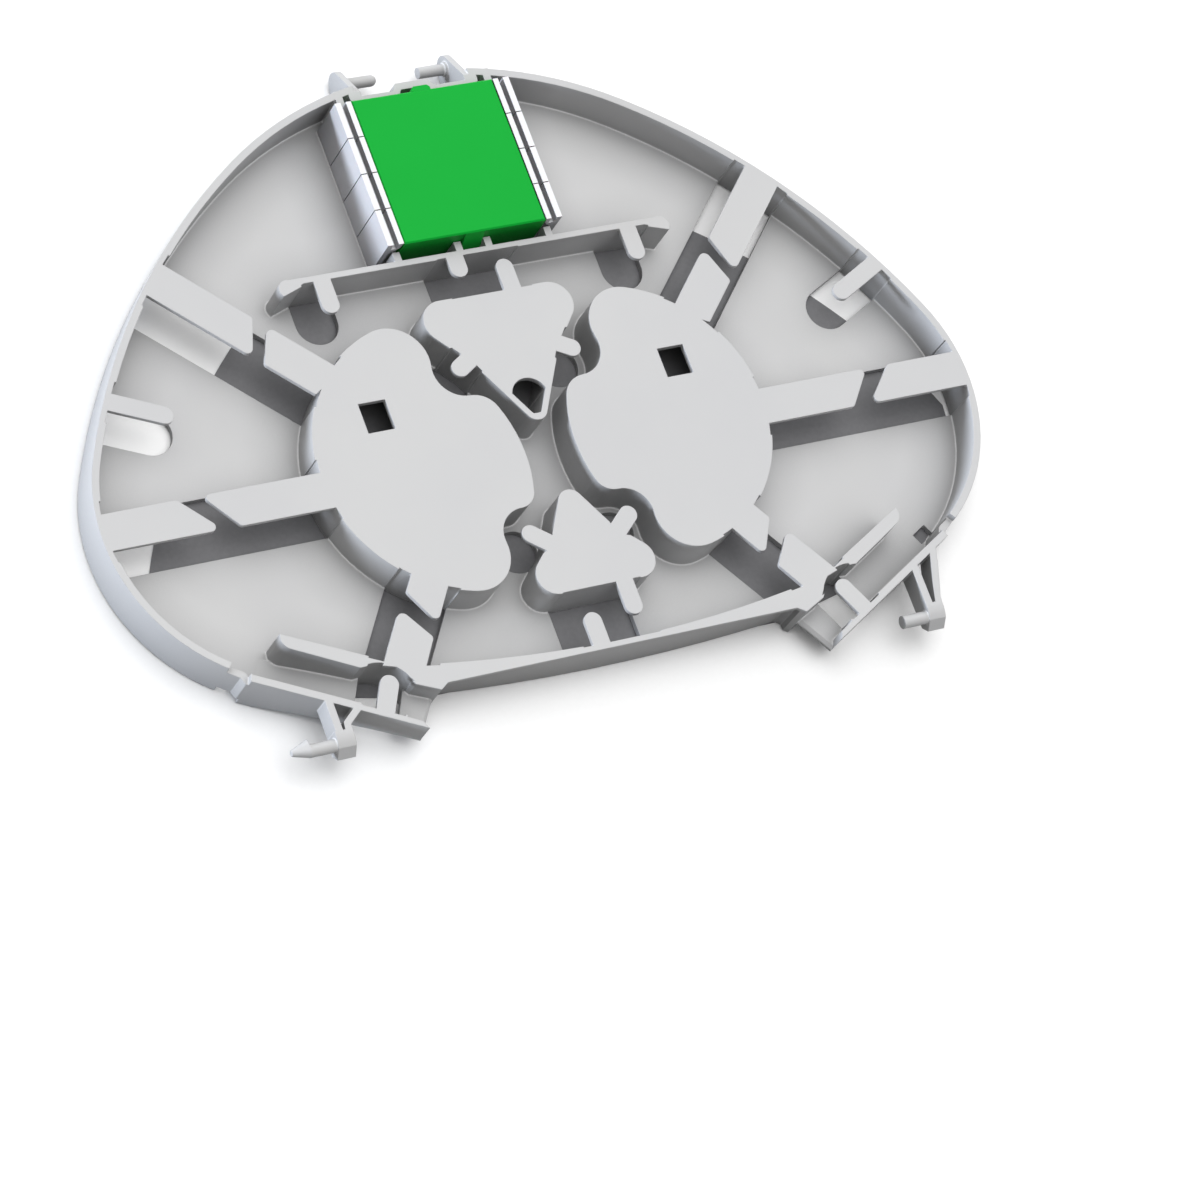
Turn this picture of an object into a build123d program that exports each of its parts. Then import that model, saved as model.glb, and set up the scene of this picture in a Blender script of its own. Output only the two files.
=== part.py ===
from build123d import *

import os
from math import asin, atan2, cos, degrees, hypot, radians, sin, sqrt

os.makedirs("parts", exist_ok=True)

# The cassette lies flat, floor down. X runs across it, Y from the front hinge arms
# to the rear hinge ears, Z up. Plan points are given from a datum on the line of
# symmetry, and plan() moves that datum so that the origin is under the middle.

# Tray heights and thicknesses
TOP = 11.4
FLOOR = 1.5
FINGER_THICKNESS = 1.0
CORE_TOP = 1.4
WALL = 1.7
CORE_WALL = 1.5
RECESS = 0.4

# Hinge parts: pins on arms at the front, pins on ears at the rear
FRONT_END_Y = -56.3
FRONT_AXIS = (-53.3, 9.2)
FRONT_PIN_RADIUS = 1.5
ARM_BASE = 5.9
REAR_AXIS = (103.0, 4.3)
REAR_PIN_RADIUS = 1.35
EAR_CENTRE = (103.2, 3.4)
EAR_RADIUS = 3.4
EAR_FACES = (13.2, 14.7)
PLAN_CENTRE_Y = (FRONT_END_Y + EAR_CENTRE[0] + EAR_RADIUS) / 2

# Rim: three arcs that run into each other, as radius and angle swept
REAR_CREST_Y = 100.2
RIM_ARCS = ((89.7, 33.7), (159.0, 31.0), (42.7, 80.1))
REAR_WALL_Y = 96.1
REAR_WALL_HALF = 14.6
BRACKET = ((4.2, 97.9), (5.3, 96.1))
FRONT_STEP = ((89.0, -34.0), (88.3, -35.7))
FRONT_CORNER = (51.8, -54.75)
ENTRY_CORNER = (45.4, -45.4)
NOTCH = ((88.2, -37.0), (86.9, -33.6), (90.0, -30.1), (92.6, -33.5))
NOTCH_DEPTH = 2.0
NOTCH_FOOT = 1.8

# Drums that the fibre is wound round
DRUM_CENTRE = (22.5, 6.54)
DRUM_RADIUS = 33.5
LOBE_RADIUS = 9.0
REAR_LOBE = (29.62, 29.98)
FRONT_LOBE = (27.62, -17.42)
WAIST_CENTRE = (39.4, 3.5)
WAIST_RADIUS = 33.0
REAR_LINK_RADIUS = 6.0
FRONT_LINK_RADIUS = 4.5
DRUM_WINDOW = (37.85, 18.55, 6.7, 7.3)

# Three-cornered bosses between the drums: lobe and shoulder circles as x, y and radius
REAR_BOSS_LOBE = (13.5, 37.9, 5.3)
REAR_BOSS_SHOULDER = (11.0, 28.5, 1.0)
REAR_BOSS_APEX_Y = 7.94
REAR_BOSS_APEX_RADIUS = 2.7
FRONT_BOSS_LOBE = (10.2, -26.2, 4.6)
FRONT_BOSS_SHOULDER = (7.5, -18.6, 1.0)
FRONT_BOSS_APEX_Y = -4.0
FRONT_BOSS_APEX_RADIUS = 3.0
EYE_Y = 16.7
EYE_RADIUS = 4.4
EYE_WALL = 1.35

# Rail in front of the coupler block, with nibs that keep the block in place
RAIL_FACES = (53.0, 54.4)
RAIL_BEND_X = 42.0
RAIL_END_X = 46.5
NIB_X = (3.75, 19.2)
NIB_WIDTH = 1.75
NIB_END_Y = 56.4
REAR_NIB = (18.0, 94.2, 1.8, 4.0)

# Round-ended fingers, all of one width: root inside a wall, then tip centre
FINGER_WIDTH = 4.25
REAR_TIP = (14.15, 26.3)
FRONT_TIP = (12.3, -15.6)
WALL_TIP = (57.3, -43.0)
PAIRED_FINGERS = (
    ((103.1, 36.1), (85.9, 28.0)),
    ((38.9, 53.7), (38.9, 46.9)),
    ((11.0, 28.1), REAR_TIP),
    ((8.2, -19.0), FRONT_TIP),
    ((60.8, -49.6), WALL_TIP),
)
SINGLE_FINGERS = (
    ((-5.6, 53.7), (-5.6, 50.1)),
    ((5.45, 42.0), (5.45, 48.5)),
    ((5.45, -29.8), (5.45, -36.8)),
    ((-5.45, -44.8), (-5.45, -38.5)),
)
# Broad fingers face each other in pairs. Four corners each, the last two at the
# slanted end, and the radii of those two.
BROAD_FINGERS = (
    (((80.9, 57.3), (74.9, 63.9), (58.0, 47.0), (61.3, 37.7)), (0.8, 1.3)),
    (((50.0, 26.3), (42.0, 31.0), (55.5, 44.5), (59.2, 35.5)), (1.5, 1.0)),
    (((108.2, -0.7), (108.2, 8.0), (90.0, 8.0), (81.8, -0.7)), (1.0, 1.2)),
    (((54.5, -0.7), (54.5, 8.0), (84.3, 8.0), (77.5, -0.7)), (1.0, 1.0)),
    (((57.3, -38.6), (48.0, -41.4), (43.5, -34.6), (48.9, -26.6)), (1.0, 1.5)),
    (((34.6, -21.8), (41.6, -16.9), (45.9, -23.1), (41.3, -31.6)), (1.0, 1.2)),
)

# Openings through the floor below the fingers
OPENING_RADIUS = 5.15
SLOT_OPENINGS = (
    ((104.0, 36.5), (86.3, 28.2)),
    ((39.0, 53.0), (39.0, 47.0)),
)
EYE_OPENINGS = (REAR_TIP, FRONT_TIP)
# Strips from wall to wall: both ends of the middle line, and the width
STRIP_OPENINGS = (
    ((43.0, 25.7), (84.3, 67.0), 14.7),
    ((54.0, 3.75), (108.6, 3.75), 14.7),
    ((34.0, -13.4), (55.5, -44.4), 14.5),
)
ENTRY_STRIP = ((61.8, -50.6), (54.3, -36.2), 10.0)
MIDDLE_OPENINGS = ((-10.0, 43.0, 10.5, 53.2), (-10.0, -45.0, 9.5, -30.6))
DRAIN = (87.8, -31.0, 4.3, 2.9, 27.5)

# Fibre entries: between guard and front wall the floor climbs to a raised sill. The
# climb is the underside's height at a distance from the sill's corner along the wall.
CHANNEL = (
    (45.9, -46.4), (51.9, -43.4), (53.4, -41.2), (55.6, -39.0), (59.5, -37.3), (62.3, -37.4),
    (84.8, -25.4), (92.0, -36.0), (52.0, -57.0), (45.0, -46.0),
)
CLIMB = ((3.2, 4.4), (22.2, 2.7), (37.2, 0.0))
SILL_BEVEL = 0.8
# The front wall is an arc in plan under a straight-edged top plate.
FRONT_PLATE = 1.0
FRONT_WALL_ARC = ((-43.5, -43.5), (0, -45.39), (43.5, -43.5))

# Coupler block: four ports side by side
PORT_PITCH = 9.24
PORTS = 4
BLOCK_HALF_X = 18.0
BLOCK_FACES = (56.8, 93.75)
BLOCK_TOP = 14.8
BLOCK_CENTRE_Y = (BLOCK_FACES[0] + BLOCK_FACES[1]) / 2
PORT_WIDTH = 7.5
PORT_HEIGHT = 9.2
PORT_Z = (FLOOR + BLOCK_TOP) / 2
REAR_TAB = (2.35, 1.25, 2.6)
FRONT_TAB = (2.45, 1.5, 6.0)
EDGE_BREAK = 0.35

# Dust caps: an outer plate, a grip above it and a hollow plug
CAP_WIDTH = 9.0
CAP_GRIP = ((0.12, 0.0), (0.5, 2.1), (1.6, 3.4), (2.7, 4.4))
PLATE_FACES = (2.7, 4.15)
PLATE_DEPTH = 13.0
GROOVE_FACES = (1.4, 2.7)
GROOVE_DEPTH = 2.25
PLUG_DEPTH = 4.8
PLUG_FIT = 0.08
PLUG_WALL = 1.0

# Latches and sleeves inside the ports
FLANGE = 1.2
HOLDER_RADIUS = 2.4
HOLDER_LENGTH = 4.8
SLEEVE_BORE_FIT = 0.05
SLEEVE_RADIUS = 1.6
SLEEVE_BORE = 1.25
SLEEVE_LENGTH = 11.4
SLEEVE_SLOT = 0.5
LATCH_REACH = 9.6
LATCH_WIDTH = 3.6
LATCH_THICKNESS = 0.9
LATCH_HOOK = 0.8
HOOK_LENGTH = 1.4


def plan(height=0.0):
    """The plan at a height above the underside, with the datum on the line of symmetry."""
    return Plane(origin=(0, -PLAN_CENTRE_Y, height))


def across(x):
    """The upright plane at x, drawn in Y and Z from the datum."""
    return Plane(origin=(x, -PLAN_CENTRE_Y, 0), x_dir=(0, 1, 0), z_dir=(1, 0, 0))


def apart(a, b):
    return hypot(b[0] - a[0], b[1] - a[1])


def toward(start, end, reach):
    """The point at a reach from start on the way to end."""
    share = reach / apart(start, end)
    return (start[0] + (end[0] - start[0]) * share, start[1] + (end[1] - start[1]) * share)


def meeting(a, reach_a, b, reach_b):
    """The point at given reaches from a and b, on the left of the way from a to b."""
    span = apart(a, b)
    along = (reach_a**2 - reach_b**2 + span**2) / (2 * span)
    aside = sqrt(reach_a**2 - along**2)
    unit_x = (b[0] - a[0]) / span
    unit_y = (b[1] - a[1]) / span
    return (a[0] + along * unit_x - aside * unit_y, a[1] + along * unit_y + aside * unit_x)


def bend(centre, start, end):
    """An arc about a centre, the shorter way from start to end."""
    middle = ((start[0] + end[0]) / 2, (start[1] + end[1]) / 2)
    ThreePointArc(start, toward(centre, middle, apart(centre, start)), end)


def bar(root, tip, width):
    """A strip from root to tip, rounded about the tip."""
    strip(root, tip, width)
    with Locations(tip):
        Circle(width / 2)


def strip(root, tip, width):
    """A strip from root to tip with square ends."""
    turn = degrees(atan2(tip[1] - root[1], tip[0] - root[0]))
    with Locations(Location((root[0], root[1], 0), (0, 0, turn))):
        Rectangle(apart(root, tip), width, align=(Align.MIN, Align.CENTER))


def both_sides(x, y):
    return Locations((x, y), (-x, y))


def raise_plan(shape, base, height, mode=Mode.ADD):
    """Extrude a plan shape upward in the part being built."""
    with BuildSketch(plan(base)) as level:
        add(shape)
    extrude(level.sketch, amount=height, mode=mode)


def shrunk(shape, thickness):
    return offset(shape, amount=-thickness, kind=Kind.ARC, mode=Mode.PRIVATE)


# Outline of the whole tray: straight behind the block, then round the rim to the
# step and the straight wall at the front, and in along the fibre entry.
with BuildSketch() as outline:
    with BuildLine():
        first_sweep = degrees(asin(REAR_WALL_HALF / RIM_ARCS[0][0]))
        rim_start_y = REAR_CREST_Y - RIM_ARCS[0][0] * (1 - cos(radians(first_sweep)))
        Polyline((0, BRACKET[0][1]), *BRACKET, (REAR_WALL_HALF, REAR_WALL_Y), (REAR_WALL_HALF, rim_start_y))
        point = (REAR_WALL_HALF, rim_start_y)
        heading = first_sweep
        passed = first_sweep
        for rim_radius, sweep in RIM_ARCS:
            rim_arc = JernArc(point, (cos(radians(heading)), -sin(radians(heading))), rim_radius, passed - sweep)
            point = rim_arc @ 1
            heading += sweep - passed
            passed = 0
        Polyline(point, *FRONT_STEP, FRONT_CORNER, ENTRY_CORNER, (0, ENTRY_CORNER[1]))
        mirror(about=Plane.YZ)
    make_face()

# Where the rim is open: the fibre entries, and the middle, which has its own wall.
with BuildSketch() as front_gap:
    with BuildLine():
        Polyline((0, -60.0), (51.8, -60.0), (51.8, -54.9), (52.7, -52.85), (56.0, -51.13))
        Polyline((56.0, -51.13), (49.5, -43.0), (0, -43.0))
        mirror(about=Plane.YZ)
    make_face()

# The drum's outline is one chain of arcs, each touching the next: the large circle, a
# lobe at each end, the hollows that pass the bosses' side fingers, and the waist.
rear_hollow = apart(REAR_LOBE, REAR_TIP) - LOBE_RADIUS
front_hollow = apart(FRONT_LOBE, FRONT_TIP) - LOBE_RADIUS
rear_link = meeting(
    WAIST_CENTRE, WAIST_RADIUS - REAR_LINK_RADIUS, REAR_TIP, rear_hollow + REAR_LINK_RADIUS
)
front_link = meeting(
    FRONT_TIP, front_hollow + FRONT_LINK_RADIUS, WAIST_CENTRE, WAIST_RADIUS - FRONT_LINK_RADIUS
)
rear_touch = toward(DRUM_CENTRE, REAR_LOBE, DRUM_RADIUS)
front_touch = toward(DRUM_CENTRE, FRONT_LOBE, DRUM_RADIUS)
DRUM_CHAIN = (
    (REAR_LOBE, rear_touch, toward(REAR_LOBE, REAR_TIP, LOBE_RADIUS)),
    (REAR_TIP, toward(REAR_LOBE, REAR_TIP, LOBE_RADIUS), toward(REAR_TIP, rear_link, rear_hollow)),
    (rear_link, toward(REAR_TIP, rear_link, rear_hollow), toward(WAIST_CENTRE, rear_link, WAIST_RADIUS)),
    (
        WAIST_CENTRE,
        toward(WAIST_CENTRE, rear_link, WAIST_RADIUS),
        toward(WAIST_CENTRE, front_link, WAIST_RADIUS),
    ),
    (
        front_link,
        toward(WAIST_CENTRE, front_link, WAIST_RADIUS),
        toward(FRONT_TIP, front_link, front_hollow),
    ),
    (
        FRONT_TIP,
        toward(FRONT_TIP, front_link, front_hollow),
        toward(FRONT_LOBE, FRONT_TIP, LOBE_RADIUS),
    ),
    (FRONT_LOBE, toward(FRONT_LOBE, FRONT_TIP, LOBE_RADIUS), front_touch),
)
with BuildSketch() as drums:
    with BuildLine():
        for centre, start, end in DRUM_CHAIN:
            bend(centre, start, end)
        ThreePointArc(front_touch, (DRUM_CENTRE[0] + DRUM_RADIUS, DRUM_CENTRE[1]), rear_touch)
    make_face()
    mirror(about=Plane.YZ)


def boss_head(lobe, shoulder):
    """The boss's broad end: two lobes and two shoulders under one tight band."""
    for x, y, radius in (lobe, shoulder):
        with both_sides(x, y):
            Circle(radius)
    make_hull()


def boss_wedge(apex_y, shoulder_y):
    """The boss's pointed end, an equilateral corner."""
    half = abs(shoulder_y - apex_y) / sqrt(3)
    Polygon((0, apex_y), (half, shoulder_y), (-half, shoulder_y), align=None)


with BuildSketch() as rear_boss_head:
    boss_head(REAR_BOSS_LOBE, REAR_BOSS_SHOULDER)
with BuildSketch() as rear_boss:
    boss_wedge(REAR_BOSS_APEX_Y, REAR_BOSS_SHOULDER[1])
    fillet(rear_boss.vertices().sort_by(Axis.Y)[0], REAR_BOSS_APEX_RADIUS)
    add(rear_boss_head.sketch)
with BuildSketch() as front_boss_head:
    boss_head(FRONT_BOSS_LOBE, FRONT_BOSS_SHOULDER)
with BuildSketch() as front_boss:
    boss_wedge(FRONT_BOSS_APEX_Y, FRONT_BOSS_SHOULDER[1])
    fillet(front_boss.vertices().sort_by(Axis.Y)[-1], FRONT_BOSS_APEX_RADIUS)
    add(front_boss_head.sketch)

# The rail is straight, and its ends lean forward and thicken into a rounded nose.
with BuildSketch() as rail:
    with BuildLine():
        Polyline((0, RAIL_FACES[0]), (RAIL_BEND_X, RAIL_FACES[0]), (49.0, 50.7))
        ThreePointArc((49.0, 50.7), (49.5, 53.0), (RAIL_END_X, RAIL_FACES[1]))
        Polyline((RAIL_END_X, RAIL_FACES[1]), (0, RAIL_FACES[1]))
        mirror(about=Plane.YZ)
    make_face()

# Front wall, hollowed on its inner side, with a hub and a slanting guard at each end.
with BuildSketch() as front_guides:
    with BuildLine():
        Polyline((0, ENTRY_CORNER[1]), (44.0, ENTRY_CORNER[1]), (46.0, -46.7), (51.3, -44.3), (52.5, -42.5))
        ThreePointArc((52.5, -42.5), (54.6, -39.8), (59.5, -37.9))
        Polyline((59.5, -37.9), (62.5, -38.0), (76.2, -30.7))
        ThreePointArc((76.2, -30.7), (77.5, -29.6), (78.0, -28.0))
        Polyline((78.0, -28.0), (77.8, -26.7), (56.5, -37.4), (47.3, -40.3))
        ThreePointArc((47.3, -40.3), (0, -44.0), (-47.3, -40.3))
        Polyline((-47.3, -40.3), (-56.5, -37.4), (-77.8, -26.7), (-78.0, -28.0))
        ThreePointArc((-78.0, -28.0), (-77.5, -29.6), (-76.2, -30.7))
        Polyline((-76.2, -30.7), (-62.5, -38.0), (-59.5, -37.9))
        ThreePointArc((-59.5, -37.9), (-54.6, -39.8), (-52.5, -42.5))
        Polyline((-52.5, -42.5), (-51.3, -44.3), (-46.0, -46.7), (-44.0, ENTRY_CORNER[1]), (0, ENTRY_CORNER[1]))
    make_face()

with BuildSketch() as channel:
    Polygon(*CHANNEL, align=None)
    add(outline.sketch, mode=Mode.INTERSECT)

with BuildSketch() as front_recess:
    with BuildLine():
        ThreePointArc(*FRONT_WALL_ARC)
        Polyline(FRONT_WALL_ARC[2], (44.9, -44.6), (44.9, -47.0), (-44.9, -47.0), (-44.9, -44.6), FRONT_WALL_ARC[0])
    make_face()

with BuildSketch() as round_fingers:
    for root, tip in PAIRED_FINGERS:
        bar(root, tip, FINGER_WIDTH)
    mirror(about=Plane.YZ)
    for root, tip in SINGLE_FINGERS:
        bar(root, tip, FINGER_WIDTH)
    add(outline.sketch, mode=Mode.INTERSECT)

broad_fingers = []
for corners, tip_radii in BROAD_FINGERS:
    with BuildSketch() as blade:
        with BuildLine():
            Polyline(*corners, close=True)
        make_face()
        for corner, tip_radius in zip(corners[2:], tip_radii):
            fillet(blade.vertices().sort_by_distance(corner)[0], tip_radius)
        mirror(about=Plane.YZ)
    broad_fingers.append(blade.sketch)

with BuildSketch() as openings:
    for root, tip in SLOT_OPENINGS:
        bar(root, tip, 2 * OPENING_RADIUS)
    for x, y in EYE_OPENINGS:
        with Locations((x, y)):
            Circle(OPENING_RADIUS)
    for start, end, width in STRIP_OPENINGS:
        strip(start, end, width)
    add(channel.sketch, mode=Mode.SUBTRACT)
    strip(*ENTRY_STRIP)
    mirror(about=Plane.YZ)
    for left, front, right, rear in MIDDLE_OPENINGS:
        with Locations(((left + right) / 2, (front + rear) / 2)):
            Rectangle(right - left, rear - front)
    add(shrunk(outline.sketch, WALL - RECESS), mode=Mode.INTERSECT)
    add(shrunk(drums.sketch, RECESS), mode=Mode.SUBTRACT)
    add(shrunk(rear_boss.sketch, RECESS), mode=Mode.SUBTRACT)
    add(shrunk(front_boss.sketch, RECESS), mode=Mode.SUBTRACT)
    add(shrunk(rail.sketch, RECESS), mode=Mode.SUBTRACT)
    add(shrunk(front_guides.sketch, RECESS), mode=Mode.SUBTRACT)

with BuildSketch() as rim:
    add(outline.sketch)
    add(shrunk(outline.sketch, WALL), mode=Mode.SUBTRACT)
    add(front_gap.sketch, mode=Mode.SUBTRACT)

with BuildSketch() as notches:
    Polygon(*NOTCH, align=None)
    mirror(about=Plane.YZ)
    add(rim.sketch, mode=Mode.INTERSECT)

with BuildSketch() as eye:
    with Locations((0, EYE_Y)):
        Circle(EYE_RADIUS)
    add(shrunk(rear_boss.sketch, EYE_WALL), mode=Mode.INTERSECT)

with BuildSketch() as windows:
    window_x, window_y, window_length, window_width = DRUM_WINDOW
    with both_sides(window_x, window_y):
        Rectangle(window_length, window_width)
    drain_x, drain_y, drain_length, drain_width, drain_turn = DRAIN
    with Locations(Location((drain_x, drain_y, 0), (0, 0, drain_turn))):
        Rectangle(drain_length, drain_width)
    with Locations(Location((-drain_x, drain_y, 0), (0, 0, -drain_turn))):
        Rectangle(drain_length, drain_width)

with BuildSketch() as nibs:
    for x in NIB_X:
        with both_sides(x, (RAIL_FACES[1] + NIB_END_Y) / 2):
            Rectangle(NIB_WIDTH, NIB_END_Y - RAIL_FACES[1] + 0.4)
    nib_x, nib_y, nib_width, nib_length = REAR_NIB
    with both_sides(nib_x + nib_width / 2, nib_y + nib_length / 2):
        Rectangle(nib_width, nib_length)

# Hinge arms in plan: a straight bar and a slanting brace, with a slit between them.
LEFT_ARM = (
    (-73.1, -43.0), (-73.1, -51.6), (-69.1, -51.6), (-69.1, -50.0), (-65.2, -46.9), (-65.4, -46.2),
)
LEFT_ARM_GAP = (
    (-71.4, -43.6), (-71.4, -51.0), (-70.8, -51.0), (-70.6, -49.2), (-66.8, -46.2),
)
RIGHT_ARM = (
    (75.6, -41.0), (75.6, -51.6), (79.8, -51.6), (80.0, -49.8), (82.4, -42.6), (84.0, -37.0), (82.0, -37.6),
)
RIGHT_ARM_GAP = (
    (77.4, -40.6), (77.4, -50.8), (78.2, -50.8), (79.3, -46.6), (81.9, -38.3),
)
with BuildSketch() as arms:
    for edge, gap in ((LEFT_ARM, LEFT_ARM_GAP), (RIGHT_ARM, RIGHT_ARM_GAP)):
        with BuildLine():
            Polyline(*edge, close=True)
        make_face()
        with BuildLine():
            Polyline(*gap, close=True)
        make_face(mode=Mode.SUBTRACT)

# Each arm's end block: x faces, and the face its pin stands on.
ARM_BLOCKS = ((-73.4, -69.1), (75.6, 79.8))
LEFT_PIN = (-73.0, -79.6, -83.7)
RIGHT_PIN = (76.0, 69.3)
BARB_HEIGHT = 1.2
LEFT_EAR_PIN_END = -4.8
RIGHT_EAR_PIN_END = 6.0
PIN_COLLAR = (1.75, 0.6)

# The climbing floor of each fibre entry, and the space below it
wall_run = (FRONT_STEP[1][0] - FRONT_CORNER[0], FRONT_STEP[1][1] - FRONT_CORNER[1], 0)
climb_plane = Plane(
    origin=(FRONT_CORNER[0], FRONT_CORNER[1] - PLAN_CENTRE_Y, 0), x_dir=wall_run, z_dir=(wall_run[1], -wall_run[0], 0)
)
CLIMB_WIDTH = 20.0
side_views = []
for lift, low in ((FLOOR, 0), (0, -1.0)):
    raised = [(along, height + lift) for along, height in CLIMB]
    with BuildSketch(climb_plane) as side_view:
        with BuildLine():
            Polyline((raised[2][0], low), (-CLIMB_WIDTH, low), (-CLIMB_WIDTH, raised[0][1]), raised[0])
            ThreePointArc(*raised)
            Line(raised[2], (raised[2][0], low))
        make_face()
    side_views.append(side_view.sketch)
floor_view, space_view = side_views

with BuildPart() as channel_floor:
    extrude(floor_view, amount=CLIMB_WIDTH, both=True)
    extrude(space_view, amount=CLIMB_WIDTH, both=True, mode=Mode.SUBTRACT)
    raise_plan(channel.sketch, 0, TOP, mode=Mode.INTERSECT)
    sill_middle = (
        (FRONT_CORNER[0] + ENTRY_CORNER[0]) / 2,
        (FRONT_CORNER[1] + ENTRY_CORNER[1]) / 2 - PLAN_CENTRE_Y,
        CLIMB[0][1] + FLOOR,
    )
    chamfer(channel_floor.edges().sort_by_distance(sill_middle)[0], SILL_BEVEL)
    mirror(about=Plane.YZ)

with BuildPart() as below_channel:
    extrude(space_view, amount=CLIMB_WIDTH, both=True)
    raise_plan(channel.sketch - front_guides.sketch, 0, TOP, mode=Mode.INTERSECT)
    mirror(about=Plane.YZ)

# The tray is one moulding: floor, rim, drums, bosses, rail, guards and hinge parts.
with BuildPart() as cassette_tray:
    raise_plan(outline.sketch, 0, FLOOR)
    raise_plan(rim.sketch, 0, TOP)
    for core in (drums.sketch, rear_boss.sketch, front_boss.sketch, rail.sketch, front_guides.sketch):
        raise_plan(core, 0, TOP)
    add(below_channel.part, mode=Mode.SUBTRACT)
    add(channel_floor.part)
    raise_plan(front_recess.sketch, 0, TOP - FRONT_PLATE, mode=Mode.SUBTRACT)
    # The openings reach a little into the walls, up to the top edge.
    raise_plan(openings.sketch, 0, TOP, mode=Mode.SUBTRACT)
    for core in (drums.sketch, rear_boss.sketch, front_boss.sketch):
        raise_plan(shrunk(core, CORE_WALL), 0, TOP - CORE_TOP, mode=Mode.SUBTRACT)
    raise_plan(eye.sketch, 0, TOP, mode=Mode.SUBTRACT)
    raise_plan(windows.sketch, 0, TOP, mode=Mode.SUBTRACT)
    raise_plan(round_fingers.sketch, TOP - FINGER_THICKNESS, FINGER_THICKNESS)
    for fingers in broad_fingers:
        raise_plan(fingers, TOP - FINGER_THICKNESS, FINGER_THICKNESS)
    raise_plan(nibs.sketch, 0, TOP)
    raise_plan(notches.sketch, 0, NOTCH_FOOT, mode=Mode.SUBTRACT)
    raise_plan(notches.sketch, TOP - NOTCH_DEPTH, NOTCH_DEPTH, mode=Mode.SUBTRACT)
    raise_plan(arms.sketch, ARM_BASE, TOP - ARM_BASE)

    # End blocks of the front arms, rounded over the top
    for near, far in ARM_BLOCKS:
        with BuildSketch(across(near)):
            with BuildLine():
                Polyline((-51.5, TOP), (-50.9, TOP), (-50.9, ARM_BASE), (-54.6, ARM_BASE), (FRONT_END_Y, 7.9))
                Polyline((FRONT_END_Y, 7.9), (-54.6, 10.5))
                ThreePointArc((-54.6, 10.5), (-53.2, 11.15), (-51.5, TOP))
            make_face()
        extrude(amount=far - near)

    # Front pins: a plain one on the right, one with a snap head on the left
    with BuildSketch(across(RIGHT_PIN[1])):
        with Locations(FRONT_AXIS):
            Circle(FRONT_PIN_RADIUS)
    extrude(amount=RIGHT_PIN[0] - RIGHT_PIN[1])
    with BuildSketch(across(LEFT_PIN[1])):
        with Locations(FRONT_AXIS):
            Circle(FRONT_PIN_RADIUS)
    extrude(amount=LEFT_PIN[0] - LEFT_PIN[1])
    with BuildSketch(across(LEFT_PIN[1])):
        with Locations(FRONT_AXIS):
            Circle(FRONT_PIN_RADIUS)
        with Locations((FRONT_AXIS[0] + BARB_HEIGHT, FRONT_AXIS[1])):
            Circle(FRONT_PIN_RADIUS)
        make_hull()
    with BuildSketch(across(LEFT_PIN[2])):
        with Locations((FRONT_AXIS[0] + 0.3, FRONT_AXIS[1])):
            Circle(0.7)
    loft()

    # Rear ears with their pins, which point at each other
    for flip in (1, -1):
        with BuildSketch(across(flip * EAR_FACES[0])):
            with Locations(EAR_CENTRE):
                Circle(EAR_RADIUS)
            with BuildLine():
                Polyline((95.5, 0), (95.5, TOP), (97.4, TOP), (98.0, 0), close=True)
            make_face()
            make_hull()
        extrude(amount=flip * (EAR_FACES[1] - EAR_FACES[0]))
    with BuildSketch(across(LEFT_EAR_PIN_END - REAR_PIN_RADIUS)):
        with Locations(REAR_AXIS):
            Circle(REAR_PIN_RADIUS)
    extrude(amount=-EAR_FACES[0] - 0.4 - (LEFT_EAR_PIN_END - REAR_PIN_RADIUS))
    with Locations((LEFT_EAR_PIN_END - REAR_PIN_RADIUS, REAR_AXIS[0] - PLAN_CENTRE_Y, REAR_AXIS[1])):
        Sphere(REAR_PIN_RADIUS)
    with BuildSketch(across(RIGHT_EAR_PIN_END)):
        with Locations(REAR_AXIS):
            Circle(REAR_PIN_RADIUS)
    extrude(amount=EAR_FACES[0] + 0.4 - RIGHT_EAR_PIN_END)
    collar_radius, collar_length = PIN_COLLAR
    with BuildSketch(across(EAR_FACES[0] - collar_length)):
        with Locations(REAR_AXIS):
            Circle(collar_radius)
    extrude(amount=collar_length + 0.4)

cassette_tray.part.label = "cassette_tray"
export_step(cassette_tray.part, "parts/cassette_tray.step")


def port_y(index):
    """The middle of a port, counted from the front."""
    return BLOCK_CENTRE_Y + (index - (PORTS - 1) / 2) * PORT_PITCH


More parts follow.
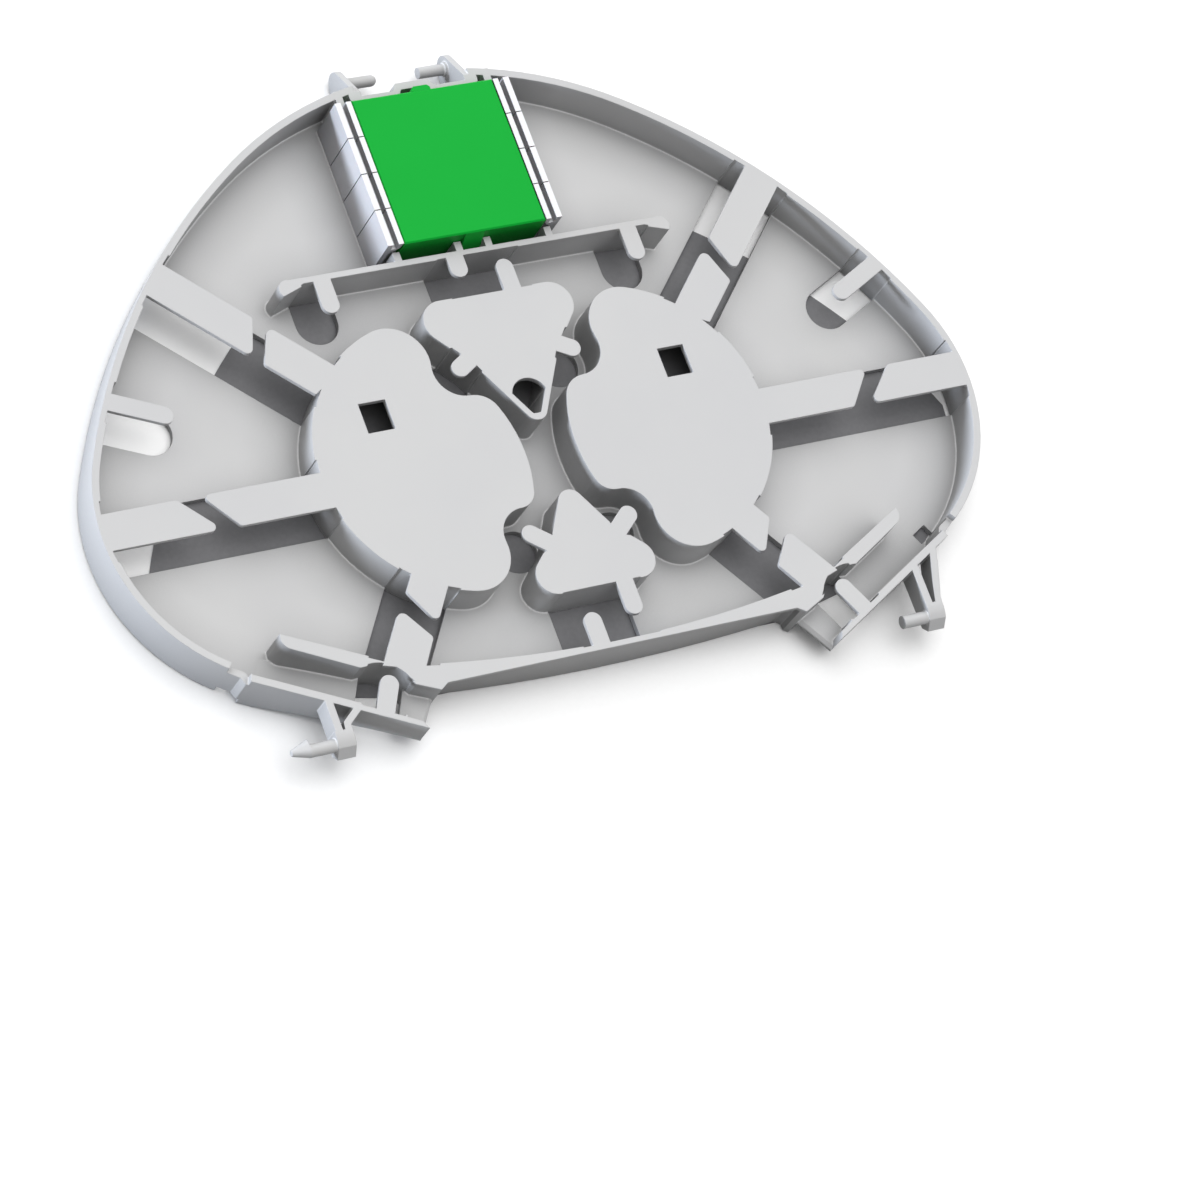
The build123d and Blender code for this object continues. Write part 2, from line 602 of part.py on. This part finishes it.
# Coupler block with four ports right through it, and a tab at each end
with BuildPart() as adapter_housing:
    with BuildSketch(plan(FLOOR)):
        with Locations((0, BLOCK_CENTRE_Y)):
            Rectangle(2 * BLOCK_HALF_X, BLOCK_FACES[1] - BLOCK_FACES[0])
    extrude(amount=BLOCK_TOP - FLOOR)
    chamfer(adapter_housing.faces().sort_by(Axis.Z)[-1].edges(), EDGE_BREAK)
    for index in range(PORTS):
        with BuildSketch(across(-BLOCK_HALF_X)):
            with Locations((port_y(index), PORT_Z)):
                Rectangle(PORT_WIDTH, PORT_HEIGHT)
        extrude(amount=2 * BLOCK_HALF_X, mode=Mode.SUBTRACT)
    tab_half, tab_reach, tab_depth = REAR_TAB
    with BuildSketch(plan(BLOCK_TOP - tab_depth)):
        with BuildLine():
            Polyline(
                (-tab_half, BLOCK_FACES[1] - 0.5),
                (-tab_half, BLOCK_FACES[1] + tab_reach / 2),
                (-tab_half + tab_reach / 2, BLOCK_FACES[1] + tab_reach),
                (tab_half - tab_reach / 2, BLOCK_FACES[1] + tab_reach),
                (tab_half, BLOCK_FACES[1] + tab_reach / 2),
                (tab_half, BLOCK_FACES[1] - 0.5),
                close=True,
            )
        make_face()
    extrude(amount=tab_depth - EDGE_BREAK)
    rib_half, rib_reach, rib_drop = FRONT_TAB
    with BuildSketch(across(-rib_half)):
        with BuildLine():
            Polyline(
                (BLOCK_FACES[0] + 0.5, BLOCK_TOP - EDGE_BREAK),
                (BLOCK_FACES[0], BLOCK_TOP - EDGE_BREAK),
                (BLOCK_FACES[0] - rib_reach, BLOCK_TOP - rib_drop),
                (BLOCK_FACES[0] - rib_reach, FLOOR),
                (BLOCK_FACES[0] + 0.5, FLOOR),
                close=True,
            )
        make_face()
    extrude(amount=2 * rib_half)
adapter_housing.part.label = "adapter_housing"
export_step(adapter_housing.part, "parts/adapter_housing.step")

SIDES = (("left", -1), ("right", 1))

for side_name, flip in SIDES:
    for index in range(PORTS):
        middle_y = port_y(index)
        outline_points = [*CAP_GRIP, (PLATE_FACES[0], PLATE_DEPTH), (PLATE_FACES[1], PLATE_DEPTH)]
        outline_points += [(PLATE_FACES[1], 0), (GROOVE_FACES[1], 0), (GROOVE_FACES[1], GROOVE_DEPTH)]
        outline_points += [(GROOVE_FACES[0], GROOVE_DEPTH), (GROOVE_FACES[0], 0)]
        upright = Plane(origin=(0, middle_y - PLAN_CENTRE_Y, 0), x_dir=(1, 0, 0), z_dir=(0, -1, 0))
        with BuildPart() as dust_cap:
            with BuildSketch(upright):
                with BuildLine():
                    Polyline(
                        *[(flip * (BLOCK_HALF_X + out), BLOCK_TOP - down) for out, down in outline_points],
                        close=True,
                    )
                make_face()
            extrude(amount=CAP_WIDTH / 2, both=True)
            with BuildSketch(across(flip * (BLOCK_HALF_X - PLUG_DEPTH))):
                with Locations((middle_y, PORT_Z)):
                    Rectangle(PORT_WIDTH - 2 * PLUG_FIT, PORT_HEIGHT - 2 * PLUG_FIT)
            extrude(amount=flip * (PLUG_DEPTH + PLATE_FACES[0] + 0.2))
            with BuildSketch(across(flip * (BLOCK_HALF_X - PLUG_DEPTH))):
                with Locations((middle_y, PORT_Z)):
                    Rectangle(
                        PORT_WIDTH - 2 * (PLUG_FIT + PLUG_WALL), PORT_HEIGHT - 2 * (PLUG_FIT + PLUG_WALL)
                    )
            extrude(amount=flip * (PLUG_DEPTH + 0.6), mode=Mode.SUBTRACT)
        name = f"dust_cap_{side_name}_{index + 1}"
        dust_cap.part.label = name
        export_step(dust_cap.part, f"parts/{name}.step")

        with BuildPart() as latch_insert:
            with BuildSketch(across(0)):
                with Locations((middle_y, PORT_Z)):
                    Rectangle(PORT_WIDTH, PORT_HEIGHT)
            extrude(amount=flip * FLANGE)
            with BuildSketch(across(flip * FLANGE)):
                with Locations((middle_y, PORT_Z)):
                    RegularPolygon(HOLDER_RADIUS, 8)
            extrude(amount=flip * HOLDER_LENGTH)
            with BuildSketch(across(0)):
                with Locations((middle_y, PORT_Z)):
                    Circle(SLEEVE_RADIUS + SLEEVE_BORE_FIT)
            extrude(amount=flip * (FLANGE + HOLDER_LENGTH), mode=Mode.SUBTRACT)
            arm_z = PORT_HEIGHT / 2 - LATCH_THICKNESS / 2 - 0.25
            with BuildSketch(across(flip * FLANGE)):
                with Locations((middle_y, PORT_Z + arm_z), (middle_y, PORT_Z - arm_z)):
                    Rectangle(LATCH_WIDTH, LATCH_THICKNESS)
            extrude(amount=flip * LATCH_REACH)
            hook_z = arm_z - LATCH_THICKNESS / 2 - LATCH_HOOK / 2
            with BuildSketch(across(flip * (FLANGE + LATCH_REACH - HOOK_LENGTH))):
                with Locations((middle_y, PORT_Z + hook_z), (middle_y, PORT_Z - hook_z)):
                    Rectangle(LATCH_WIDTH, LATCH_HOOK)
            extrude(amount=flip * HOOK_LENGTH)
        name = f"latch_insert_{side_name}_{index + 1}"
        latch_insert.part.label = name
        export_step(latch_insert.part, f"parts/{name}.step")

for index in range(PORTS):
    with BuildPart() as alignment_sleeve:
        with BuildSketch(across(-SLEEVE_LENGTH / 2)):
            with Locations((port_y(index), PORT_Z)):
                Circle(SLEEVE_RADIUS)
                Circle(SLEEVE_BORE, mode=Mode.SUBTRACT)
            with Locations((port_y(index), PORT_Z + SLEEVE_RADIUS)):
                Rectangle(SLEEVE_SLOT, 2 * SLEEVE_RADIUS, mode=Mode.SUBTRACT)
        extrude(amount=SLEEVE_LENGTH)
    name = f"alignment_sleeve_{index + 1}"
    alignment_sleeve.part.label = name
    export_step(alignment_sleeve.part, f"parts/{name}.step")
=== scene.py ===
import math

import bpy
import numpy as np
from mathutils import Matrix, Vector, geometry

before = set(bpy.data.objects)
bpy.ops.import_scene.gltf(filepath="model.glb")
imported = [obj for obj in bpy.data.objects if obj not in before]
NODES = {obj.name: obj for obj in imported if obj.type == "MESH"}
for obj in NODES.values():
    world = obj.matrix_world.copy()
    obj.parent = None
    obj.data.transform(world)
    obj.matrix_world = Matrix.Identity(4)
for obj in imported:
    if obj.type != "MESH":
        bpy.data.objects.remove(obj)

bl_info = {
    "name": "Fibre patch cassette finish",
    "version": (1, 0, 0),
    "blender": (4, 5, 0),
    "location": "View3D > Sidebar > Cassette",
    "description": "Moulded plastic finishes and a studio for a fibre patch cassette",
    "category": "Object",
}

MM = 0.001
# Places along the tray are counted in mm from a datum on its line of symmetry, and the
# model's middle lies this far behind that datum.
DATUM_Y = 25.15

# Finishes
CLOUD_MM = 35.0            # breadth of the flow clouds in a moulding
CORNER_REACH_MM = 14.0     # how far from a corner its painted shade reaches
FOOT_REACH_MM = 0.5        # half the breadth of the painted highlight line at a wall's foot
DEPTH_REACH_MM = 0.6       # how deep light goes below a waxy skin
# Colour of the painted shade in inner corners
CORNER_SHADE = "202022"
# Colour of the painted highlight line at walls' feet
FOOT_PAINTED_HIGHLIGHT = "F2F2F2"
CARD_FIBRES_PER_M = 900.0

# Studio
GLOW_TOWARDS = (0.42, 0.76, 0.5)
FLOOR_HALF_M = 6.0
FLOOR_AT_MM = -0.4
UNDERLAY_AT_MM = -0.2
UNDERLAY_INSET_MM = 2.2
UNDERLAY_POINTS = 240
UNDERSIDE_MM = 0.2         # the tray's underside is all that lies lower than this
FRONT_WALL_Y = -46.0       # the underlay stays between the front wall and the rear notch
REAR_NOTCH_Y = 95.0
LAMP_DEGREES = 12.0
LAMP_AIM = (1.0, -0.25, -0.06)
SENSOR_MM = 36.0
CAMERA_RIGHT = (0.8738, -0.3395, 0.3482)
CAMERA_FORWARD = (0.4508, 0.297, -0.8418)
CAMERA_AT_MM = (-537.8, -387.0, 1011.8)


# Colours and nodes

def linear(colour):
    """An sRGB hex colour, such as "D9D9DA", as the linear RGBA that shaders take."""
    parts = [int(colour[i:i + 2], 16) / 255 for i in (0, 2, 4)]
    return [p / 12.92 if p <= 0.04045 else ((p + 0.055) / 1.055) ** 2.4 for p in parts] + [1.0]


def add(tree, kind, links=(), **settings):
    """Adds a node. A setting whose name is an input's number or name fills that socket,
    any other is the node's own property, and links feeds sockets: (input, socket)."""
    node = tree.nodes.new(kind)
    sockets = settings.pop("inputs", {})
    for name, value in settings.items():
        setattr(node, name, value)
    for name, value in sockets.items():
        node.inputs[name].default_value = value
    for name, source in links:
        tree.links.new(source, node.inputs[name])
    return node


def new_material(name):
    """An empty node material with its output, ready for a shader."""
    material = bpy.data.materials.new(name)
    material.use_nodes = True
    tree = material.node_tree
    tree.nodes.clear()
    return material, tree, add(tree, "ShaderNodeOutputMaterial")


def plain_rays(tree):
    """1 for a ray that meets the eye straight, in gloss or through glass, and 0 for others."""
    path = add(tree, "ShaderNodeLightPath")
    straight = add(tree, "ShaderNodeMath", operation="MAXIMUM",
                   links=[(0, path.outputs["Is Camera Ray"]), (1, path.outputs["Is Glossy Ray"])])
    return add(tree, "ShaderNodeMath", operation="MAXIMUM",
               links=[(0, straight.outputs[0]), (1, path.outputs["Is Transmission Ray"])]).outputs[0]


def moulded(name, colour, tint, edge, roughness, grain_mm, grain_depth_mm, edge_radius, depth=0.0,
            shine=0.5, corner_shade_amount=0.46, foot=0.0, flank_shade=None):
    """A moulded plastic. Large soft clouds move the colour a little towards tint, as melt flow does. A fine
    grain roughens it, and every edge is rounded by edge_radius and turns towards the edge colour, a painted
    highlight on the rounded edges. depth is the share of light that goes in below the skin, and shine the
    strength of the reflection.
    corner_shade_amount is how far inner corners darken as painted shade, foot how far a painted highlight
    lights the small fillet in them, and flank_shade the painted shade colour of upright faces, where they
    differ from level ones."""
    material, tree, output = new_material(name)
    place = add(tree, "ShaderNodeTexCoord")
    clouds = add(tree, "ShaderNodeTexNoise", [("Vector", place.outputs["Object"])],
                 inputs={"Scale": 1 / (CLOUD_MM * MM), "Detail": 3.0, "Roughness": 0.55})
    cloud_share = add(tree, "ShaderNodeMapRange", [("Value", clouds.outputs["Fac"])],
                      inputs={"From Min": 0.35, "From Max": 0.7})
    body = add(tree, "ShaderNodeMix", [("Factor", cloud_share.outputs[0])], data_type="RGBA",
               inputs={6: linear(colour), 7: linear(tint)})
    rounded = add(tree, "ShaderNodeBevel", samples=4, inputs={"Radius": edge_radius})
    shape = add(tree, "ShaderNodeNewGeometry")
    turn = add(tree, "ShaderNodeVectorMath", operation="DOT_PRODUCT",
               links=[(0, rounded.outputs[0]), (1, shape.outputs["True Normal"])])
    # Painted highlight: where the bevelled normal turns from the face's own, rounded edges are painted
    # lighter towards the edge colour.
    edge_highlight_share = add(tree, "ShaderNodeMapRange", [("Value", turn.outputs["Value"])],
                     inputs={"From Min": 0.995, "From Max": 0.75, "To Max": 0.65})
    # Painted shade: corners and the feet of walls darken towards the corner shade colour, as far as they are
    # hidden.
    corner = add(tree, "ShaderNodeAmbientOcclusion", samples=6,
                 inputs={"Distance": CORNER_REACH_MM * MM})
    corner_shade_share = add(tree, "ShaderNodeMapRange", [("Value", corner.outputs["AO"])],
                       inputs={"From Min": 1.0, "From Max": 0.25, "To Max": corner_shade_amount})
    shaded = add(tree, "ShaderNodeMix", [("Factor", corner_shade_share.outputs[0]), (6, body.outputs[2])],
                 data_type="RGBA", inputs={7: linear(CORNER_SHADE)})
    painted = add(tree, "ShaderNodeMix", [("Factor", edge_highlight_share.outputs[0]), (6, shaded.outputs[2])],
                  data_type="RGBA", inputs={7: linear(edge)})
    # Painted shade: upright faces turn to the flank colour, greyer than level tops, and take the corner shade
    # too.
    if flank_shade:
        level = add(tree, "ShaderNodeSeparateXYZ", [(0, place.outputs["Normal"])])
        flank_shade_share = add(tree, "ShaderNodeMapRange", [("Value", level.outputs["Z"])],
                          inputs={"From Min": 0.9, "From Max": 0.5})
        upright = add(tree, "ShaderNodeMix", [("Factor", corner_shade_share.outputs[0])], data_type="RGBA",
                      inputs={6: linear(flank_shade), 7: linear(CORNER_SHADE)})
        painted = add(tree, "ShaderNodeMix", data_type="RGBA",
                      links=[("Factor", flank_shade_share.outputs[0]), (6, painted.outputs[2]),
                             (7, upright.outputs[2])])
    if foot:
        # Painted highlight: a thin light line is painted at a wall's foot, where a mould leaves a small
        # fillet.
        near = add(tree, "ShaderNodeAmbientOcclusion", samples=4,
                   inputs={"Distance": FOOT_REACH_MM * MM})
        foot_highlight_share = add(tree, "ShaderNodeMapRange", [("Value", near.outputs["AO"])],
                         inputs={"From Min": 0.95, "From Max": 0.6, "To Max": foot})
        painted = add(tree, "ShaderNodeMix", [("Factor", foot_highlight_share.outputs[0]), (6, painted.outputs[2])],
                      data_type="RGBA", inputs={7: linear(FOOT_PAINTED_HIGHLIGHT)})
    grain = add(tree, "ShaderNodeTexNoise", [("Vector", place.outputs["Object"])],
                inputs={"Scale": 1 / (grain_mm * MM), "Detail": 2.0, "Roughness": 0.6})
    bump = add(tree, "ShaderNodeBump", [("Height", grain.outputs["Fac"]), ("Normal", rounded.outputs[0])],
               inputs={"Strength": 0.6, "Distance": grain_depth_mm * MM})
    gloss = add(tree, "ShaderNodeMapRange", [("Value", grain.outputs["Fac"])],
                inputs={"From Min": 0.3, "From Max": 0.7,
                        "To Min": roughness - 0.05, "To Max": roughness + 0.07})
    shader = add(tree, "ShaderNodeBsdfPrincipled",
                 links=[("Base Color", painted.outputs[2]), ("Roughness", gloss.outputs[0]),
                        ("Normal", bump.outputs[0])],
                 inputs={"IOR": 1.5, "Subsurface Weight": depth,
                         "Subsurface Scale": DEPTH_REACH_MM * MM, "Specular IOR Level": shine})
    tree.links.new(shader.outputs[0], output.inputs["Surface"])
    return material


def card_colour(tree, one, other):
    """Uncoated card: its fibres mix two close greys in fine noise."""
    place = add(tree, "ShaderNodeTexCoord")
    fibre = add(tree, "ShaderNodeTexNoise", [("Vector", place.outputs["Object"])],
                inputs={"Scale": CARD_FIBRES_PER_M})
    return add(tree, "ShaderNodeMix", [("Factor", fibre.outputs["Fac"])], data_type="RGBA",
               inputs={6: linear(one), 7: linear(other)}).outputs[2]


# Nodes of the frame

def dress(names, material):
    """Gives CAD nodes one material."""
    for name in names:
        node = NODES[name]
        node.data.materials.clear()
        node.data.materials.append(material)


def matching(prefix):
    """The names of the CAD nodes that start with prefix."""
    found = sorted(name for name in NODES if name.startswith(prefix))
    if not found:
        raise RuntimeError("the frame has no node that starts with " + prefix)
    return found


# Studio

def studio_sky(scene, s):
    """The sky is strongest overhead, and a broad soft glow stands behind the object on the
    right, so walls that face the camera stay darker than level tops and shade the floor
    before them. Its strength is sky times height to the power of falloff, plus back times
    the cosine to the glow's middle. To the eye, in gloss and through glass it is white."""
    world = bpy.data.worlds.new("studio_sky")
    scene.world = world
    world.use_nodes = True
    tree = world.node_tree
    tree.nodes.clear()
    way = add(tree, "ShaderNodeTexCoord")
    height = add(tree, "ShaderNodeSeparateXYZ", [(0, way.outputs["Generated"])])
    above = add(tree, "ShaderNodeMath", [(0, height.outputs["Z"])], operation="MAXIMUM", inputs={1: 0.0})
    dome = add(tree, "ShaderNodeMath", [(0, above.outputs[0])], operation="POWER", inputs={1: s.falloff})
    toward = add(tree, "ShaderNodeVectorMath", [(0, way.outputs["Generated"])], operation="DOT_PRODUCT",
                 inputs={1: GLOW_TOWARDS})
    facing = add(tree, "ShaderNodeMath", [(0, toward.outputs["Value"])], operation="MAXIMUM", inputs={1: 0.0})
    glow = add(tree, "ShaderNodeMath", [(0, facing.outputs[0])], operation="MULTIPLY", inputs={1: s.back})
    strength = add(tree, "ShaderNodeMath", [(0, dome.outputs[0]), (2, glow.outputs[0])],
                   operation="MULTIPLY_ADD", inputs={1: s.sky})
    light = add(tree, "ShaderNodeBackground", [("Strength", strength.outputs[0])],
                inputs={"Color": linear("FFFFFF")})
    white = add(tree, "ShaderNodeBackground", inputs={"Color": linear("FFFFFF"), "Strength": 1.0})
    mix = add(tree, "ShaderNodeMixShader",
              [(0, plain_rays(tree)), (1, light.outputs[0]), (2, white.outputs[0])])
    out = add(tree, "ShaderNodeOutputWorld")
    tree.links.new(mix.outputs[0], out.inputs["Surface"])


def studio_sheet(scene, name, outline, material):
    """A flat sheet of one face, from the rows of its outline."""
    mesh = bpy.data.meshes.new(name)
    mesh.from_pydata(outline.tolist(), [], [tuple(range(len(outline)))])
    sheet = bpy.data.objects.new(name, mesh)
    sheet.data.materials.append(material)
    scene.collection.objects.link(sheet)
    return sheet


def white_card(lift):
    """Uncoated white card. It throws back less light than it shows, as if it lay deeper, so
    that the walls' undersides stay dark, and lift is the glow that brings it to white."""
    material, tree, output = new_material("card_uncoated_white")
    card = add(tree, "ShaderNodeBsdfDiffuse", [("Color", card_colour(tree, "F8F8F8", "FCFCFC"))])
    glow = add(tree, "ShaderNodeEmission", inputs={"Color": linear("FFFFFF"), "Strength": lift})
    lit = add(tree, "ShaderNodeAddShader", [(0, card.outputs[0]), (1, glow.outputs[0])])
    dim = add(tree, "ShaderNodeBsdfDiffuse", inputs={"Color": linear("8C8C8C")})
    mix = add(tree, "ShaderNodeMixShader",
              [(0, plain_rays(tree)), (1, dim.outputs[0]), (2, lit.outputs[0])])
    tree.links.new(mix.outputs[0], output.inputs["Surface"])
    return material


def painted_shadow_card(colour):
    """A matt dark sheet with a card's fibre grain, a painted shadow under the tray, so that what lies under
    the tray reads as depth.
    """
    material, tree, output = new_material("painted_shadow_sheet")
    matt = add(tree, "ShaderNodeBsdfDiffuse", [("Color", card_colour(tree, colour, "767678"))])
    tree.links.new(matt.outputs[0], output.inputs["Surface"])
    return material


def underlay_outline(across, along):
    """The outline of the sheet under the tray: where the hull of the tray's underside and
    the same hull moved by (across, along) overlap, drawn in a little. Each side of the
    hull has a reach, its distance from the middle, and a side that faces against the move
    loses the move's share of it. Along a ray from the middle, the outline lies at the
    least reach / cosine between the ray and the side's outward way, over all sides."""
    tray = NODES["cassette_tray"]
    points = np.empty(3 * len(tray.data.vertices))
    tray.data.vertices.foreach_get("co", points)
    turned = points.reshape(-1, 3) @ np.array(tray.matrix_world.to_3x3()).T
    points = turned + np.array(tray.matrix_world.translation)
    plan_y = points[:, 1] / MM + DATUM_Y
    low = points[:, 2] < UNDERSIDE_MM * MM
    under = points[low & (plan_y > FRONT_WALL_Y) & (plan_y < REAR_NOTCH_Y)][:, :2]
    hull = under[geometry.convex_hull_2d(under.tolist())]
    middle = hull.mean(axis=0)
    run = np.roll(hull, -1, axis=0) - hull
    outward = np.column_stack((run[:, 1], -run[:, 0])) / np.linalg.norm(run, axis=1)[:, None]
    reach = ((hull - middle) * outward).sum(axis=1)
    outward = outward * np.sign(reach)[:, None]
    against = np.minimum(0, outward @ np.array((across, along)))
    reach = np.abs(reach) - UNDERLAY_INSET_MM * MM + against
    angle = np.linspace(0, 2 * math.pi, UNDERLAY_POINTS, endpoint=False)
    rays = np.column_stack((np.cos(angle), np.sin(angle)))
    cosine = rays @ outward.T
    radius = np.where(cosine > 1e-6, reach / np.maximum(cosine, 1e-6), np.inf).min(axis=1)
    return np.column_stack((middle + radius[:, None] * rays, np.full(len(rays), UNDERLAY_AT_MM * MM)))


def side_lamp(scene, strength):
    """A low, faintly blue light from the left, which touches only the walls that face it."""
    lamp = bpy.data.lights.new("side_lamp", "SUN")
    lamp.angle = math.radians(LAMP_DEGREES)
    lamp.energy = strength
    lamp.color = linear("E8F1FF")[:3]
    holder = bpy.data.objects.new("side_lamp", lamp)
    holder.rotation_euler = Vector(LAMP_AIM).to_track_quat("-Z", "Y").to_euler()
    scene.collection.objects.link(holder)


def photo_camera(scene, lens_mm):
    """The camera at the photograph's place and angle, as solved from the tray's shape."""
    lens = bpy.data.cameras.new("photo_camera")
    lens.lens = lens_mm
    lens.sensor_width = SENSOR_MM
    lens.clip_start = 0.05
    lens.clip_end = 20.0
    camera = bpy.data.objects.new("photo_camera", lens)
    forward = Vector(CAMERA_FORWARD).normalized()
    up = Vector(CAMERA_RIGHT).normalized().cross(forward).normalized()
    right = forward.cross(up).normalized()
    turn = Matrix((right, up, -forward)).transposed()
    x, y, z = CAMERA_AT_MM
    camera.matrix_world = Matrix.Translation((x * MM, (y - DATUM_Y) * MM, z * MM)) @ turn.to_4x4()
    scene.collection.objects.link(camera)
    scene.camera = camera


# Settings

class TraySettings(bpy.types.PropertyGroup):
    """The grey moulding."""
    colour: bpy.props.StringProperty(
        name="Colour", description="Body colour, sRGB hex", default="C4C4C4")
    tint: bpy.props.StringProperty(
        name="Tint", description="Colour of the flow clouds, sRGB hex", default="C1C1C2")
    # The edge colour is a painted highlight on rounded edges.
    edge: bpy.props.StringProperty(
        name="Edge", description="Colour of the polished edges, sRGB hex", default="CFCFD0")
    edge_radius: bpy.props.FloatProperty(
        name="Edge radius", description="Rounding of the moulded edges", default=0.28 * MM,
        min=0.0, max=1.0 * MM, precision=5, unit="LENGTH")


class BlockSettings(bpy.types.PropertyGroup):
    """The coupler block, its caps, and what is inside its ports."""
    housing: bpy.props.StringProperty(
        name="Housing", description="Housing colour, sRGB hex", default="0CAA37")
    cap: bpy.props.StringProperty(
        name="Cap", description="Dust cap colour, sRGB hex", default="EDEDEF")


class StudioSettings(bpy.types.PropertyGroup):
    """Light, floor and camera."""
    sky: bpy.props.FloatProperty(
        name="Sky", description="Strength of the light overhead", default=3.12, min=0.0)
    falloff: bpy.props.FloatProperty(
        name="Falloff", description="How fast the sky darkens towards the horizon", default=6.0, min=0.0)
    back: bpy.props.FloatProperty(
        name="Back glow", description="Strength of the soft glow behind", default=0.9, min=0.0)
    lift: bpy.props.FloatProperty(
        name="Lift", description="Glow that lifts the card to white", default=0.02, min=0.0)
    # The underlay colour is the painted shadow under the tray.
    underlay: bpy.props.StringProperty(
        name="Underlay", description="Colour of the sheet under the tray, sRGB hex", default="808082")
    underlay_across: bpy.props.FloatProperty(
        name="Underlay across", description="How far the underlay lies to the right",
        default=6.0 * MM, precision=4, unit="LENGTH")
    underlay_along: bpy.props.FloatProperty(
        name="Underlay along", description="How far the underlay lies back, or forward below zero",
        default=-24.0 * MM, precision=4, unit="LENGTH")
    side: bpy.props.FloatProperty(
        name="Side lamp", description="Strength of the low light on the left", default=4.1, min=0.0)
    lens: bpy.props.FloatProperty(
        name="Lens", description="Focal length in mm", default=161.9, min=10.0, unit="CAMERA")


# Operators

class CASSETTE_OT_tray(bpy.types.Operator):
    """Finish the tray as one moulding in light grey ABS"""
    bl_idname = "cassette.tray"
    bl_label = "Finish the tray"

    def execute(self, context):
        s = context.scene.cassette_tray
        # Injection-moulded ABS from a spark-eroded tool: a matt skin without a clear reflection, with a
        # painted highlight that makes rounded edges slightly lighter and a painted highlight line at the
        # walls' feet. The real grain is about 0.05 mm, and is drawn at 0.35 mm so that it shows.
        grey = moulded("abs_moulded_spark_eroded_grey", s.colour, s.tint, s.edge, roughness=0.52,
                       grain_mm=0.35, grain_depth_mm=0.02, edge_radius=s.edge_radius, foot=0.7)
        dress(["cassette_tray"], grey)
        return {"FINISHED"}


class CASSETTE_OT_block(bpy.types.Operator):
    """Finish the coupler block, its dust caps, latches and sleeves"""
    bl_idname = "cassette.block"
    bl_label = "Finish the coupler block"

    def execute(self, context):
        s = context.scene.cassette_block
        # Polyester moulded against a polished tool: an even, deep green with a soft sheen.
        green = moulded("pbt_moulded_satin_green", s.housing, "0BA735", "16B041", roughness=0.45,
                        grain_mm=0.5, grain_depth_mm=0.002, edge_radius=0.08 * MM, shine=0.1)
        # Polyethylene, moulded smooth: waxy white that lets a little light in. Its upright faces are painted
        # greyer than its level tops, as painted shade.
        white = moulded("polyethylene_moulded_waxy_white", s.cap, "E9E9EC", "EFEFF1", roughness=0.38,
                        grain_mm=0.6, grain_depth_mm=0.003, edge_radius=0.06 * MM, depth=0.05,
                        shine=0.4, corner_shade_amount=0.5, flank_shade="CCCCD0")
        # Natural nylon, moulded: faintly yellow and half clear.
        natural = moulded("nylon_moulded_natural", "CCCABB", "C2BFAE", "D8D6CA", roughness=0.4,
                          grain_mm=0.5, grain_depth_mm=0.006, edge_radius=0.15 * MM, depth=0.1)
        # Zirconia, ground and honed: dense white with a clear gloss.
        zirconia = moulded("zirconia_ground_white", "D9D7D0", "D3D0C8", "E2E1DC", roughness=0.18,
                           grain_mm=0.2, grain_depth_mm=0.001, edge_radius=0.05 * MM)
        dress(["adapter_housing"], green)
        dress(matching("dust_cap_"), white)
        dress(matching("latch_insert_"), natural)
        dress(matching("alignment_sleeve_"), zirconia)
        return {"FINISHED"}


class CASSETTE_OT_studio(bpy.types.Operator):
    """Set up the floor, the lamps and the camera"""
    bl_idname = "cassette.studio"
    bl_label = "Set up the studio"

    def execute(self, context):
        s = context.scene.cassette_studio
        scene = context.scene
        scene.view_settings.view_transform = "Standard"
        studio_sky(scene, s)

        half = FLOOR_HALF_M
        square = np.array([(-half, -half), (half, -half), (half, half), (-half, half)])
        ground = np.column_stack((square, np.full(len(square), FLOOR_AT_MM * MM)))
        floor = studio_sheet(scene, "studio_floor", ground, white_card(s.lift))

        # Painted shadow: a dark sheet under the tray stands in for the shade there. It never shows outside
        # the tray, and pale card shows through the tray's rearmost openings.
        outline = underlay_outline(s.underlay_across, s.underlay_along)
        underlay = studio_sheet(scene, "studio_painted_shadow", outline, painted_shadow_card(s.underlay))

        side_lamp(scene, s.side)
        photo_camera(scene, s.lens)
        return {"FINISHED"}


# Panel and registration

class CASSETTE_PT_panel(bpy.types.Panel):
    """Buttons for the cassette's finishes"""
    bl_idname = "CASSETTE_PT_panel"
    bl_label = "Cassette"
    bl_space_type = "VIEW_3D"
    bl_region_type = "UI"
    bl_category = "Cassette"

    def draw(self, context):
        for operator in OPERATORS:
            self.layout.operator(operator.bl_idname)
        for holder, group in SETTINGS:
            box = self.layout.box()
            for name in group.__annotations__:
                box.prop(getattr(context.scene, holder), name)


SETTINGS = (("cassette_tray", TraySettings), ("cassette_block", BlockSettings),
            ("cassette_studio", StudioSettings))
OPERATORS = (CASSETTE_OT_tray, CASSETTE_OT_block, CASSETTE_OT_studio)


def register():
    for name, group in SETTINGS:
        bpy.utils.register_class(group)
        setattr(bpy.types.Scene, name, bpy.props.PointerProperty(type=group))
    for operator in OPERATORS:
        bpy.utils.register_class(operator)
    bpy.utils.register_class(CASSETTE_PT_panel)


def unregister():
    bpy.utils.unregister_class(CASSETTE_PT_panel)
    for operator in reversed(OPERATORS):
        bpy.utils.unregister_class(operator)
    for name, group in reversed(SETTINGS):
        delattr(bpy.types.Scene, name)
        bpy.utils.unregister_class(group)


def main():
    """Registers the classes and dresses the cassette."""
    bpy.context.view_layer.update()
    register()
    bpy.ops.cassette.tray()
    bpy.ops.cassette.block()
    bpy.ops.cassette.studio()


if __name__ == "__main__":
    main()
